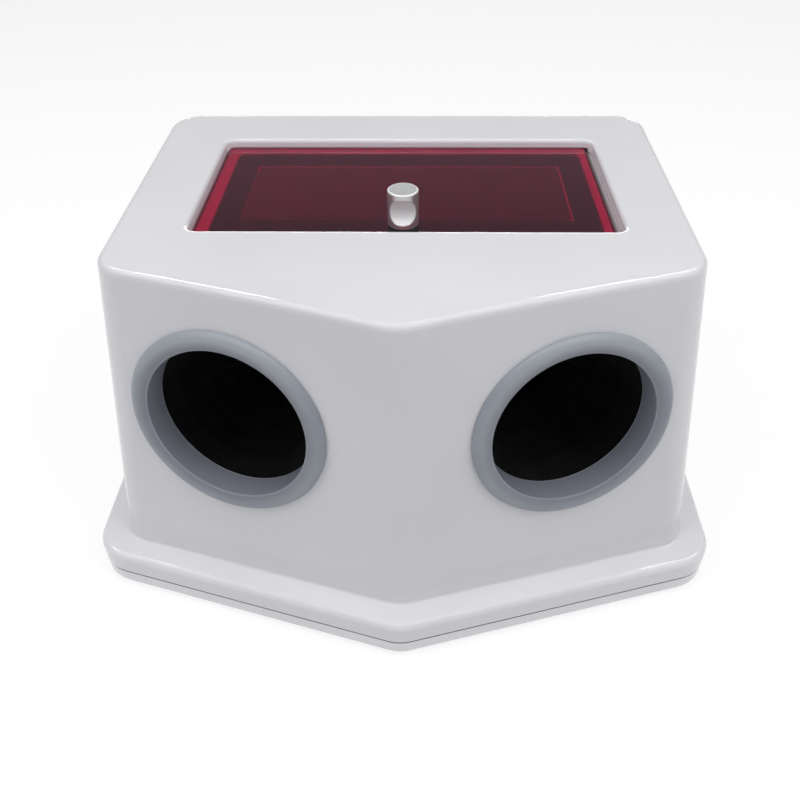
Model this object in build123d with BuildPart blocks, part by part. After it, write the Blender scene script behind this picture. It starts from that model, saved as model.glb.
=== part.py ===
from build123d import *
import math
import os

# Dental film developing box. X runs to the right seen from the front, Y to the back, Z up.
# The origin is on the table, in the middle of the box's footprint.

# Housing: a drafted five-sided shell with a V front, on a wide foot flange. Its top is flat over
# the lid and rolls down to the front along a wide arc that starts at TOP_ROLL_Y.
HEIGHT = 214.0
WALL = 4.0
BACK_HALF_WIDTH = 156.5
MID_HALF_WIDTH = 153.0
BACK_Y = 124.5
MID_Y = -79.4
FRONT_Y = -124.2
BACK_CORNER_R = 20.0
MID_CORNER_R = 20.0
FRONT_CORNER_R = 27.5
SIDE_DRAFT = 6.5
FRONT_DRAFT = 4.6
TOP_EDGE_R = 4.0
TOP_ROLL_Y, TOP_ROLL_R = -60.0, 340.0
FLANGE_OUT = 16.0
FLANGE_TOP_Z = 26.5
FLANGE_CORNERS_R = [34.0, 34.0, 26.0, 23.6, 26.0]
FLANGE_EDGE_R = 4.0
FLANGE_ROOT_R = 1.5

# Base: a shallow tray on rubber feet, with a gasket in the seam above it
FOOT_DROP = 2.0
BASE_T = 10.0
BASE_FLOOR_T = 4.0
BASE_INSET = 0.3
BASE_RIM = 20.0
BASE_BOTTOM_R, BASE_TOP_R = 3.0, 0.4
GASKET_T = 1.0
GASKET_INSET, GASKET_INNER = 0.5, 18.0
BASE_TOP_Z = FOOT_DROP + BASE_T
SEAM_Z = BASE_TOP_Z + GASKET_T
FLOOR_Z = FOOT_DROP + BASE_FLOOR_T

# Lid recess in the top, a little right of the middle
RECESS_X, RECESS_Y = 2.0, 19.25
RECESS_W, RECESS_D = 232.5, 121.5
RECESS_DEPTH = 8.0
RECESS_CORNER_R = 6.0
RECESS_EDGE_R = 2.5
OPENING_W, OPENING_D = 214.6, 107.5
OPENING_CORNER_R = 4.0
LEDGE_T = 4.0
LEDGE_Z = HEIGHT - RECESS_DEPTH

# Lid: window plate, smaller plate glued below it, knob with a thumb scoop
LID_X, LID_Y = 0.7, 19.25
LID_W, LID_D, LID_T = 227.5, 119.5, 3.0
LID_CORNER_R, LID_CHAMFER = 4.0, 0.4
INNER_X, INNER_Y = 2.1, 18.0
INNER_W, INNER_D, INNER_T = 185.0, 71.0, 3.0
INNER_CORNER_R = 1.0
KNOB_Y = -23.3
KNOB_R, KNOB_H = 8.3, 19.6
KNOB_CHAMFER = 0.6
SCOOP_R = 8.3
SCOOP_DEPTH = 4.2
SCOOP_BELOW_TOP = 10.2
KNOB_SCREW_R = 2.0
LID_TOP_Z = LEDGE_Z + LID_T

# Hand ports: place along each front face, then the ring's section
PORT_ALONG = 95.1
PORT_Z = 133.1
BEZEL_R = 56.4
BEZEL_H, BEZEL_CREST_R = 4.6, 51.5
BEZEL_EDGE_H, BEZEL_LIP_H = 1.6, 3.0
BORE_R = 46.0
COLLAR_R = 49.0
COLLAR_END = 12.6
PORT_HOLE_R = 49.3
CLAMP_R = 57.0
CLAMP_T = 3.0
RING_SCREW_CIRCLE_R = 53.0
RING_SCREW_COUNT = 4
RING_SCREW_R = 1.25
WALL_NORMAL = WALL * math.cos(math.radians(FRONT_DRAFT))

# Sleeves: cloth tubes from the collars to an elastic cuff
SLEEVE_T = 1.2
SLEEVE_GAP = 0.1
SLEEVE_START, SLEEVE_END = 7.4, 85.0
CUFF_R = 28.0
BAND_T = 1.5
BAND_W, BAND_START = 3.0, 9.4
CUFF_W, CUFF_START = 5.0, 79.0
BAND_EDGE_R = 0.4

# Cups and the rack that holds them
CUP_X = [-67.0, 2.0, 71.0]
CUP_Y = 35.0
CUP_H = 80.0
CUP_TOP_R, CUP_BOTTOM_R = 30.0, 27.0
CUP_LIP_R, CUP_LIP_T = 32.0, 2.5
CUP_WALL, CUP_FLOOR_T = 2.0, 2.5
CUP_EDGE_R, CUP_LIP_EDGE_R = 2.0, 0.8
RACK_W, RACK_D = 226.0, 74.0
RACK_PLATE_Z, RACK_T, RACK_CORNER_R = 50.0, 3.0, 5.0
RACK_HOLE_R = 29.8
RACK_BLOCK = (10.0, 22.0, 8.0)

# Fasteners and feet
CLEAR = 0.15
THREAD_GAP = 0.05
BOSS_R = 4.5
HEAD_TAPER = 12
SLOT_W, SLOT_D = 0.8, 0.9
BASE_SCREW_R, BASE_HEAD_R, BASE_HEAD_T = 1.75, 3.6, 2.2
BASE_SCREW_LENGTH, BASE_HEAD_SINK = 15.5, 3.0
FOOT_R, FOOT_T, FOOT_CHAMFER = 7.5, 5.0, 0.8
FOOT_SCREW_R, FOOT_HEAD_R, SMALL_HEAD_T = 1.5, 2.9, 1.6
FOOT_SCREW_LENGTH, FOOT_SINK = 7.5, 0.6
RACK_SCREW_LENGTH, RACK_HEAD_SINK = 9.0, 2.2
RING_HEAD_R, RING_HEAD_T = 2.3, 1.5
RING_SCREW_BITE = 2.6
KNOB_SCREW_BITE = 7.0
WASHER_R, WASHER_T = 4.8, 0.8


def offset_corners(corners, moves):
    """Moves each side of a closed outline outward by its own distance.

    corners run anticlockwise, and side i goes from corner i to the next one.
    """
    lines = []
    for i, (x0, y0) in enumerate(corners):
        x1, y1 = corners[(i + 1) % len(corners)]
        length = math.hypot(x1 - x0, y1 - y0)
        dx, dy = (x1 - x0) / length, (y1 - y0) / length
        lines.append((x0 + dy * moves[i], y0 - dx * moves[i], dx, dy))
    moved = []
    for i in range(len(lines)):
        ax, ay, adx, ady = lines[i - 1]
        bx, by, bdx, bdy = lines[i]
        cross = adx * bdy - ady * bdx
        along = ((bx - ax) * bdy - (by - ay) * bdx) / cross
        moved.append((ax + along * adx, ay + along * ady))
    return moved


def shell_corners(z, grow=0.0):
    """Sharp corners of the drafted shell at height z: back right, back left, then the front."""
    top = [
        (BACK_HALF_WIDTH, BACK_Y),
        (-BACK_HALF_WIDTH, BACK_Y),
        (-MID_HALF_WIDTH, MID_Y),
        (0, FRONT_Y),
        (MID_HALF_WIDTH, MID_Y),
    ]
    side = math.tan(math.radians(SIDE_DRAFT)) * (HEIGHT - z) + grow
    front = math.tan(math.radians(FRONT_DRAFT)) * (HEIGHT - z) + grow
    return offset_corners(top, [front, side, front, front, side])


SHELL_RADII = [BACK_CORNER_R, BACK_CORNER_R, MID_CORNER_R, FRONT_CORNER_R, MID_CORNER_R]


def inner_radii(radii, inset):
    """Corner radii of an outline moved inward by inset, never sharper than 2 mm."""
    return [max(radius - inset, 2.0) for radius in radii]


def outline(z, corners, radii):
    """A filled five-sided outline with rounded corners at height z."""
    with BuildSketch(Plane.XY.offset(z)) as sketch:
        with BuildLine():
            FilletPolyline(*corners, radius=radii, close=True)
        make_face()
    return sketch.sketch


def above_top(depth):
    """All that lies above the top's surface when it is moved inward by depth."""
    level = HEIGHT - depth
    with BuildPart() as above:
        with BuildSketch(Plane.YZ):
            with Locations((0, level)):
                Rectangle(320, 40)
            with Locations((TOP_ROLL_Y, level)):
                Rectangle(220, 20, align=(Align.MIN, Align.MAX), mode=Mode.SUBTRACT)
            with Locations((TOP_ROLL_Y, HEIGHT - TOP_ROLL_R)):
                Circle(TOP_ROLL_R - depth, mode=Mode.SUBTRACT)
        extrude(amount=BACK_HALF_WIDTH + 20, both=True)
    return above.part


def foot_outline(z, inset):
    """The foot flange's outline at height z, moved inward by inset."""
    corners = shell_corners(FLANGE_TOP_Z, FLANGE_OUT - inset)
    return outline(z, corners, inner_radii(FLANGE_CORNERS_R, inset))


def foot_point(side, along, inset):
    """A point beside the flange's edge: side by number, along it from 0 to 1, inset from it."""
    corners = shell_corners(FLANGE_TOP_Z, FLANGE_OUT - inset)
    x0, y0 = corners[side]
    x1, y1 = corners[(side + 1) % len(corners)]
    return (x0 + (x1 - x0) * along, y0 + (y1 - y0) * along)


def port_plane(side):
    """Plane on a front face at its port, side -1 left and 1 right. Its Z points out of the box."""
    corners = shell_corners(PORT_Z)
    vertex = Vector(*corners[3])
    mid = Vector(*corners[4 if side > 0 else 2])
    along = (mid - vertex).normalized()
    centre = vertex + along * PORT_ALONG
    across = along * side
    out_flat = across.cross(Vector(0, 0, 1))
    draft = math.radians(FRONT_DRAFT)
    out = out_flat * math.cos(draft) + Vector(0, 0, math.sin(draft))
    return Plane(origin=(centre.X, centre.Y, PORT_Z), x_dir=across, z_dir=out)


def port_section(side):
    """Plane through a port's axis: its X is the radius, its Y points out of the box."""
    port = port_plane(side)
    return Plane(origin=port.origin, x_dir=port.x_dir, z_dir=port.x_dir.cross(port.z_dir))


def port_axis(side):
    """A port's axis, pointing out of the box."""
    port = port_plane(side)
    return Axis(port.origin, port.z_dir)


def finish(part, name):
    """Labels a finished piece and writes its file."""
    part.label = name
    export_step(part, f"parts/{name}.step")
    size = part.bounding_box().size
    print(f"{name}: {len(part.solids())} solids, {part.volume:.0f} mm3, "
          f"{size.X:.1f} x {size.Y:.1f} x {size.Z:.1f}")
    return part


os.makedirs("parts", exist_ok=True)

# Places of the fasteners round the base
SCREW_INSET = 9.5
SCREW_POINTS = [
    foot_point(0, 0.22, SCREW_INSET),
    foot_point(0, 0.78, SCREW_INSET),
    foot_point(1, 0.5, SCREW_INSET),
    foot_point(2, 0.28, SCREW_INSET),
    foot_point(2, 0.76, SCREW_INSET),
    foot_point(3, 0.24, SCREW_INSET),
    foot_point(3, 0.72, SCREW_INSET),
    foot_point(4, 0.5, SCREW_INSET),
]
FOOT_INSETS = [19.5, 19.5, 15.0, 13.0, 15.0]
FOOT_POINTS = [foot_point(side, 0.0, inset) for side, inset in enumerate(FOOT_INSETS)]
RACK_SCREW_POINTS = [(RECESS_X + s * (RACK_W / 2 - RACK_BLOCK[0] / 2), CUP_Y) for s in (-1, 1)]

# Housing
BOSS_TOP_Z = FLANGE_TOP_Z - WALL
with BuildPart() as housing:
    add(outline(FLANGE_TOP_Z - 1, shell_corners(FLANGE_TOP_Z - 1), SHELL_RADII))
    add(outline(HEIGHT + 1, shell_corners(HEIGHT + 1), SHELL_RADII))
    loft()
    add(above_top(0), mode=Mode.SUBTRACT)
    top_faces = housing.faces().filter_by(lambda face: face.normal_at().Z > 0.5)
    rim = top_faces.edges().filter_by(lambda edge: abs(edge.center().Y - TOP_ROLL_Y) > 2)
    fillet(rim, TOP_EDGE_R)
    add(foot_outline(SEAM_Z, 0))
    extrude(amount=FLANGE_TOP_Z - SEAM_Z)
    flange_top = housing.faces().filter_by(Plane.XY).group_by(Axis.Z)[-2][0]
    fillet(flange_top.outer_wire().edges(), FLANGE_EDGE_R)
    root_face = housing.faces().filter_by(Plane.XY).group_by(Axis.Z)[-2][0]
    fillet(root_face.inner_wires()[0].edges(), FLANGE_ROOT_R)
    # the hollow: a drafted room under the top, and a wider step inside the flange
    with BuildPart(mode=Mode.PRIVATE) as room:
        add(outline(BOSS_TOP_Z - 1, shell_corners(BOSS_TOP_Z - 1, -WALL), inner_radii(SHELL_RADII, WALL)))
        add(outline(HEIGHT - 1, shell_corners(HEIGHT - 1, -WALL), inner_radii(SHELL_RADII, WALL)))
        loft()
        add(above_top(WALL), mode=Mode.SUBTRACT)
    add(room.part, mode=Mode.SUBTRACT)
    add(foot_outline(SEAM_Z, WALL))
    extrude(amount=BOSS_TOP_Z - SEAM_Z, mode=Mode.SUBTRACT)
    # bosses for the base screws
    with BuildSketch(Plane.XY.offset(SEAM_Z)):
        with Locations(*SCREW_POINTS):
            Circle(BOSS_R)
    extrude(amount=BOSS_TOP_Z - SEAM_Z)
    with BuildSketch(Plane.XY.offset(SEAM_Z)):
        with Locations(*SCREW_POINTS):
            Circle(BASE_SCREW_R)
    extrude(amount=BOSS_TOP_Z - SEAM_Z - 1, mode=Mode.SUBTRACT)
    # the lid recess, its side walls and its ledge
    with BuildSketch(Plane.XY.offset(LEDGE_Z - LEDGE_T)):
        with Locations((RECESS_X, RECESS_Y)):
            RectangleRounded(RECESS_W + 2 * WALL, RECESS_D + 2 * WALL, RECESS_CORNER_R + WALL)
    extrude(amount=RECESS_DEPTH + LEDGE_T - WALL / 2)
    with BuildSketch(Plane.XY.offset(LEDGE_Z)):
        with Locations((RECESS_X, RECESS_Y)):
            RectangleRounded(RECESS_W, RECESS_D, RECESS_CORNER_R)
    extrude(amount=RECESS_DEPTH, mode=Mode.SUBTRACT)
    with BuildSketch(Plane.XY.offset(LEDGE_Z - LEDGE_T)):
        with Locations((RECESS_X, RECESS_Y)):
            RectangleRounded(OPENING_W, OPENING_D, OPENING_CORNER_R)
    extrude(amount=LEDGE_T, mode=Mode.SUBTRACT)
    top_face = housing.faces().filter_by(Plane.XY).sort_by(Axis.Z)[-1]
    fillet(top_face.inner_wires()[0].edges(), RECESS_EDGE_R)
    # the hand ports and the holes for their ring screws
    for side in (-1, 1):
        with BuildSketch(port_plane(side)):
            Circle(PORT_HOLE_R)
            with PolarLocations(RING_SCREW_CIRCLE_R, RING_SCREW_COUNT, start_angle=45):
                Circle(RING_SCREW_R + CLEAR)
        extrude(amount=2 * WALL, both=True, mode=Mode.SUBTRACT)
finish(housing.part, "housing")

# Base plate: a shallow tray with a wide rim, pockets for the feet and screw holes
RIM_POCKET_R = [22.0, 22.0, 10.0, 14.0, 10.0]
with BuildPart() as base_plate:
    add(foot_outline(FOOT_DROP, BASE_INSET))
    extrude(amount=BASE_T)
    fillet(base_plate.faces().sort_by(Axis.Z)[0].edges(), BASE_BOTTOM_R)
    fillet(base_plate.faces().sort_by(Axis.Z)[-1].edges(), BASE_TOP_R)
    add(outline(FLOOR_Z, shell_corners(FLANGE_TOP_Z, FLANGE_OUT - BASE_RIM), RIM_POCKET_R))
    extrude(amount=BASE_T, mode=Mode.SUBTRACT)
    with BuildSketch(Plane.XY.offset(FOOT_DROP)):
        with Locations(*FOOT_POINTS):
            Circle(FOOT_R)
    extrude(amount=FOOT_T - FOOT_DROP, mode=Mode.SUBTRACT)
    with BuildSketch(Plane.XY.offset(FOOT_DROP)):
        with Locations(*FOOT_POINTS):
            Circle(FOOT_SCREW_R)
    extrude(amount=FOOT_SCREW_LENGTH + FOOT_SINK, mode=Mode.SUBTRACT)
    with BuildSketch(Plane.XY.offset(FOOT_DROP)):
        with Locations(*SCREW_POINTS):
            Circle(BASE_HEAD_R + 2 * CLEAR)
    extrude(amount=BASE_HEAD_SINK, mode=Mode.SUBTRACT)
    with BuildSketch(Plane.XY.offset(FOOT_DROP)):
        with Locations(*SCREW_POINTS):
            Circle(BASE_SCREW_R + CLEAR)
    extrude(amount=BASE_T, mode=Mode.SUBTRACT)
    with BuildSketch(Plane.XY.offset(FOOT_DROP)):
        with Locations(*RACK_SCREW_POINTS):
            Circle(FOOT_HEAD_R + 2 * CLEAR)
    extrude(amount=RACK_HEAD_SINK, mode=Mode.SUBTRACT)
    with BuildSketch(Plane.XY.offset(FOOT_DROP)):
        with Locations(*RACK_SCREW_POINTS):
            Circle(FOOT_SCREW_R + CLEAR)
    extrude(amount=BASE_FLOOR_T, mode=Mode.SUBTRACT)
finish(base_plate.part, "base_plate")

# Gasket in the seam, with holes for the base screws
with BuildPart() as base_gasket:
    add(foot_outline(BASE_TOP_Z, GASKET_INSET))
    extrude(amount=GASKET_T)
    add(outline(BASE_TOP_Z, shell_corners(FLANGE_TOP_Z, FLANGE_OUT - GASKET_INNER), RIM_POCKET_R))
    extrude(amount=GASKET_T, mode=Mode.SUBTRACT)
    with BuildSketch(Plane.XY.offset(BASE_TOP_Z)):
        with Locations(*SCREW_POINTS):
            Circle(BASE_SCREW_R + CLEAR)
    extrude(amount=GASKET_T, mode=Mode.SUBTRACT)
finish(base_gasket.part, "base_gasket")


def screws(name, seats, shank_r, length, head_r, head_t):
    """Pan-head screws with a cross recess, one on each plane of seats.

    A seat lies on the underside of the head, and its Z points along the shank.
    """
    with BuildPart() as group:
        for seat in seats:
            with BuildSketch(seat):
                Circle(shank_r)
            extrude(amount=length)
            with BuildSketch(seat):
                Circle(head_r)
            extrude(amount=-head_t, taper=HEAD_TAPER)
            with BuildSketch(seat.offset(-head_t)):
                Rectangle(head_r * 1.1, SLOT_W)
                Rectangle(SLOT_W, head_r * 1.1)
            extrude(amount=SLOT_D, mode=Mode.SUBTRACT)
    return finish(group.part, name)


def upright_seats(points, z):
    """Screw seats at height z for screws that point upwards."""
    return [Plane(origin=(x, y, z)) for x, y in points]


screws(
    "base_screws",
    upright_seats(SCREW_POINTS, FOOT_DROP + BASE_HEAD_SINK),
    BASE_SCREW_R - THREAD_GAP,
    BASE_SCREW_LENGTH,
    BASE_HEAD_R,
    BASE_HEAD_T,
)

# Rubber feet, each held by a screw sunk into it
with BuildPart() as rubber_feet:
    with BuildSketch():
        with Locations(*FOOT_POINTS):
            Circle(FOOT_R - CLEAR)
    extrude(amount=FOOT_T)
    chamfer(rubber_feet.faces().group_by(Axis.Z)[0].edges(), FOOT_CHAMFER)
    with BuildSketch():
        with Locations(*FOOT_POINTS):
            Circle(FOOT_HEAD_R + 2 * CLEAR)
    extrude(amount=FOOT_DROP + FOOT_SINK, mode=Mode.SUBTRACT)
    with BuildSketch():
        with Locations(*FOOT_POINTS):
            Circle(FOOT_SCREW_R + CLEAR)
    extrude(amount=FOOT_T, mode=Mode.SUBTRACT)
finish(rubber_feet.part, "rubber_feet")
screws(
    "foot_screws",
    upright_seats(FOOT_POINTS, FOOT_DROP + FOOT_SINK),
    FOOT_SCREW_R - THREAD_GAP,
    FOOT_SCREW_LENGTH,
    FOOT_HEAD_R,
    SMALL_HEAD_T,
)


def port_ring(side, name):
    """Bezel with a collar through the wall. Its bore is where a hand goes in."""
    with BuildPart() as ring:
        with BuildSketch(port_section(side)):
            with BuildLine():
                Polyline(
                    (BORE_R, BEZEL_LIP_H),
                    (BORE_R, -COLLAR_END),
                    (COLLAR_R, -COLLAR_END),
                    (COLLAR_R, 0),
                    (BEZEL_R, 0),
                    (BEZEL_R, BEZEL_EDGE_H),
                )
                TangentArc((BEZEL_CREST_R, BEZEL_H), (BEZEL_R, BEZEL_EDGE_H), tangent=(1, 0))
                TangentArc((BEZEL_CREST_R, BEZEL_H), (BORE_R, BEZEL_LIP_H), tangent=(-1, 0))
            make_face()
        revolve(axis=port_axis(side))
        with BuildSketch(port_plane(side)):
            with PolarLocations(RING_SCREW_CIRCLE_R, RING_SCREW_COUNT, start_angle=45):
                Circle(RING_SCREW_R)
        extrude(amount=RING_SCREW_BITE + 2 * CLEAR, mode=Mode.SUBTRACT)
    return finish(ring.part, name)


def clamp_ring(side, name):
    """Flat ring that clamps a port ring from inside the wall."""
    with BuildPart() as clamp:
        with BuildSketch(port_plane(side).offset(-WALL_NORMAL)):
            Circle(CLAMP_R)
            Circle(COLLAR_R + 2 * CLEAR, mode=Mode.SUBTRACT)
            with PolarLocations(RING_SCREW_CIRCLE_R, RING_SCREW_COUNT, start_angle=45):
                Circle(RING_SCREW_R + CLEAR, mode=Mode.SUBTRACT)
        extrude(amount=-CLAMP_T)
    return finish(clamp.part, name)


def ring_screw_seats(side):
    """Seats of a clamp ring's screws, which point out of the box."""
    seat = port_plane(side).offset(-(WALL_NORMAL + CLAMP_T))
    seats = []
    for number in range(RING_SCREW_COUNT):
        angle = math.radians(45 + number * 360 / RING_SCREW_COUNT)
        local = (RING_SCREW_CIRCLE_R * math.cos(angle), RING_SCREW_CIRCLE_R * math.sin(angle), 0)
        place = seat.from_local_coords(Vector(*local))
        seats.append(Plane(origin=place, x_dir=seat.x_dir, z_dir=seat.z_dir))
    return seats


def tube_band(side, name, radius, thick, start, width):
    """Band of width round a port's axis, start mm inside the face, just outside radius."""
    with BuildPart() as band:
        with BuildSketch(port_section(side)):
            with BuildLine():
                Polyline(
                    (radius, -start),
                    (radius + thick, -start),
                    (radius + thick, -start - width),
                    (radius, -start - width),
                    close=True,
                )
            make_face()
        revolve(axis=port_axis(side))
        fillet(band.edges(), BAND_EDGE_R)
    return finish(band.part, name)


# Inner surface of a sleeve: radius, and depth from the shell's outer face
SLEEVE_LINE = [
    (COLLAR_R + SLEEVE_GAP, SLEEVE_START),
    (COLLAR_R + SLEEVE_GAP, COLLAR_END + 1),
    (45.5, 28.0),
    (43.5, 42.0),
    (37.0, 58.0),
    (CUFF_R - SLEEVE_T, 72.0),
    (CUFF_R - SLEEVE_T, SLEEVE_END),
]


def sleeve(side, name):
    """Cloth tube from a collar to its cuff, hanging along the port's axis."""
    with BuildPart() as tube:
        with BuildSketch(port_section(side)):
            with BuildLine():
                inside = [(radius, -depth) for radius, depth in SLEEVE_LINE]
                outside = [(radius + SLEEVE_T, -depth) for radius, depth in SLEEVE_LINE]
                Polyline(*inside, *reversed(outside), close=True)
            make_face()
        revolve(axis=port_axis(side))
    return finish(tube.part, name)


for side, hand in ((-1, "left"), (1, "right")):
    port_ring(side, f"{hand}_port_ring")
    clamp_ring(side, f"{hand}_clamp_ring")
    screws(
        f"{hand}_ring_screws",
        ring_screw_seats(side),
        RING_SCREW_R - THREAD_GAP,
        CLAMP_T + WALL_NORMAL + RING_SCREW_BITE,
        RING_HEAD_R,
        RING_HEAD_T,
    )
    sleeve(side, f"{hand}_sleeve")
    hoop_r = COLLAR_R + SLEEVE_GAP + SLEEVE_T + SLEEVE_GAP
    tube_band(side, f"{hand}_sleeve_band", hoop_r, BAND_T, BAND_START, BAND_W)
    tube_band(side, f"{hand}_cuff_elastic", CUFF_R + SLEEVE_GAP, BAND_T, CUFF_START, CUFF_W)

# Lid
with BuildPart() as lid_panel:
    with BuildSketch(Plane.XY.offset(LEDGE_Z)):
        with Locations((LID_X, LID_Y)):
            RectangleRounded(LID_W, LID_D, LID_CORNER_R)
        with Locations((LID_X, KNOB_Y)):
            Circle(KNOB_SCREW_R + CLEAR, mode=Mode.SUBTRACT)
    extrude(amount=LID_T)
    chamfer(lid_panel.faces().sort_by(Axis.Z)[-1].outer_wire().edges(), LID_CHAMFER)
finish(lid_panel.part, "lid_panel")

with BuildPart() as lid_inner_panel:
    with BuildSketch(Plane.XY.offset(LEDGE_Z - INNER_T)):
        with Locations((INNER_X, INNER_Y)):
            RectangleRounded(INNER_W, INNER_D, INNER_CORNER_R)
    extrude(amount=INNER_T)
finish(lid_inner_panel.part, "lid_inner_panel")

with BuildPart() as lid_knob:
    with BuildSketch(Plane.XY.offset(LID_TOP_Z)):
        with Locations((LID_X, KNOB_Y)):
            Circle(KNOB_R)
    extrude(amount=KNOB_H)
    chamfer(lid_knob.faces().sort_by(Axis.Z)[-1].edges(), KNOB_CHAMFER)
    scoop_y = KNOB_Y - (KNOB_R - SCOOP_DEPTH) - SCOOP_R
    with Locations((LID_X, scoop_y, LID_TOP_Z + KNOB_H - SCOOP_BELOW_TOP)):
        Cylinder(SCOOP_R, 3 * KNOB_R, rotation=(0, 90, 0), mode=Mode.SUBTRACT)
    with BuildSketch(Plane.XY.offset(LID_TOP_Z)):
        with Locations((LID_X, KNOB_Y)):
            Circle(KNOB_SCREW_R)
    extrude(amount=KNOB_SCREW_BITE + 2 * CLEAR, mode=Mode.SUBTRACT)
finish(lid_knob.part, "lid_knob")

with BuildPart() as knob_washer:
    with BuildSketch(Plane.XY.offset(LEDGE_Z - WASHER_T)):
        with Locations((LID_X, KNOB_Y)):
            Circle(WASHER_R)
            Circle(KNOB_SCREW_R + 2 * CLEAR, mode=Mode.SUBTRACT)
    extrude(amount=WASHER_T)
finish(knob_washer.part, "knob_washer")
screws(
    "knob_screw",
    upright_seats([(LID_X, KNOB_Y)], LEDGE_Z - WASHER_T),
    KNOB_SCREW_R - THREAD_GAP,
    WASHER_T + LID_T + KNOB_SCREW_BITE,
    BASE_HEAD_R,
    BASE_HEAD_T,
)

# Rack: a table over the base tray with a hole for each cup
RACK_LEG_X = [RECESS_X + s * (RACK_W - RACK_T) / 2 for s in (-1, 1)]
with BuildPart() as cup_rack:
    with BuildSketch(Plane.XY.offset(RACK_PLATE_Z)):
        with Locations((RECESS_X, CUP_Y)):
            RectangleRounded(RACK_W, RACK_D, RACK_CORNER_R)
    extrude(amount=RACK_T)
    with BuildSketch(Plane.XY.offset(FLOOR_Z)):
        with Locations(*[(x, CUP_Y) for x in RACK_LEG_X]):
            Rectangle(RACK_T, RACK_D - 2 * RACK_CORNER_R)
    extrude(amount=RACK_PLATE_Z - FLOOR_Z)
    with BuildSketch(Plane.XY.offset(FLOOR_Z)):
        with Locations(*RACK_SCREW_POINTS):
            Rectangle(RACK_BLOCK[0], RACK_BLOCK[1])
    extrude(amount=RACK_BLOCK[2])
    with BuildSketch(Plane.XY.offset(FLOOR_Z)):
        with Locations(*RACK_SCREW_POINTS):
            Circle(FOOT_SCREW_R)
    extrude(amount=RACK_BLOCK[2] - CLEAR, mode=Mode.SUBTRACT)
    with BuildSketch(Plane.XY.offset(RACK_PLATE_Z)):
        with Locations(*[(x, CUP_Y) for x in CUP_X]):
            Circle(RACK_HOLE_R)
    extrude(amount=RACK_T, mode=Mode.SUBTRACT)
finish(cup_rack.part, "cup_rack")
screws(
    "rack_screws",
    upright_seats(RACK_SCREW_POINTS, FOOT_DROP + RACK_HEAD_SINK),
    FOOT_SCREW_R - THREAD_GAP,
    RACK_SCREW_LENGTH,
    FOOT_HEAD_R,
    SMALL_HEAD_T,
)


def cup(x, name):
    """Tapered cup with a rolled lip, standing on the tray's floor."""
    with BuildPart() as body:
        with BuildSketch(Plane(origin=(x, CUP_Y, FLOOR_Z), x_dir=(1, 0, 0), z_dir=(0, -1, 0))):
            with BuildLine():
                Polyline(
                    (0, CUP_FLOOR_T),
                    (0, 0),
                    (CUP_BOTTOM_R, 0),
                    (CUP_TOP_R, CUP_H - CUP_LIP_T),
                    (CUP_LIP_R, CUP_H - CUP_LIP_T),
                    (CUP_LIP_R, CUP_H),
                    (CUP_TOP_R - CUP_WALL, CUP_H),
                    (CUP_BOTTOM_R - CUP_WALL, CUP_FLOOR_T),
                    close=True,
                )
            make_face()
        revolve(axis=Axis((x, CUP_Y, 0), (0, 0, 1)))
        fillet(body.faces().sort_by(Axis.Z)[0].edges(), CUP_EDGE_R)
        fillet(body.faces().sort_by(Axis.Z)[-1].edges(), CUP_LIP_EDGE_R)
    return finish(body.part, name)


for x, name in zip(CUP_X, ("developer_cup", "rinse_cup", "fixer_cup")):
    cup(x, name)
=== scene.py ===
"""Dental film developing box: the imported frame, dressed with its finishes and soft parts.

Lengths are in metres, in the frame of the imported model: X to the right, Y to the back, Z up.
"""

import functools
import logging
import math
from collections.abc import Callable
from dataclasses import dataclass
from enum import Enum

import bpy
import numpy as np
from mathutils import Matrix, Vector


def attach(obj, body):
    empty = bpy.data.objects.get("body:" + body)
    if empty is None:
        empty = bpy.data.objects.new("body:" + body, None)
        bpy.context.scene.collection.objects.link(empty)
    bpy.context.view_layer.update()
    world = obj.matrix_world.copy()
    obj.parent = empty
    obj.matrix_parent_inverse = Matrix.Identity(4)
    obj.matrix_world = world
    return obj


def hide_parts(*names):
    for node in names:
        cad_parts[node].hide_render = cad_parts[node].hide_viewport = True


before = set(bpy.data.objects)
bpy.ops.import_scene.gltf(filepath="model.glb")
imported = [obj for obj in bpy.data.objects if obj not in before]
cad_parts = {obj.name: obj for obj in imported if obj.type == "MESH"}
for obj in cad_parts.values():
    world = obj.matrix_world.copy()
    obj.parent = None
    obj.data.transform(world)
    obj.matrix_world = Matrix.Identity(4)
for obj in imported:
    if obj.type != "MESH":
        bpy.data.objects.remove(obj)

LOG = logging.getLogger("film_box")
MM = 0.001
TURN = 2 * math.pi
Colour = tuple[float, float, float, float]
Pair = tuple[float, float]
Triple = tuple[float, float, float]
Material = bpy.types.Material
Piece = bpy.types.Object
Inputs = dict[str | int, object]


class Hand(Enum):
    """The two hand ports, with the sign of their X."""

    LEFT = -1
    RIGHT = 1


class Moulding(Enum):
    """The two white mouldings, which are black paint inside."""

    HOUSING = "housing"
    BASE = "base_plate"


class Ends(Enum):
    """What the first and last rows of a grid do: join up, close with a flat face each, or stay open."""

    JOINED = "joined"
    CAPPED = "capped"
    OPEN = "open"


# Meshes


def around(steps: int) -> np.ndarray:
    """Angles of a full turn in radians, without its end."""
    return np.linspace(0.0, TURN, steps, endpoint=False)


def ramp(value: np.ndarray, start: float, over: float) -> np.ndarray:
    """Rises from 0 at the start to 1 at start + over, and holds there."""
    return np.clip((value - start) / over, 0.0, 1.0)


def arc(centre: Pair, radius: float, start: float, end: float, steps: int) -> np.ndarray:
    """Points of a section on an arc, from the start to the end angle in degrees."""
    angle = np.radians(np.linspace(start, end, steps))
    return np.stack([centre[0] + radius * np.cos(angle), centre[1] + radius * np.sin(angle)], axis=-1)


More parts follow.
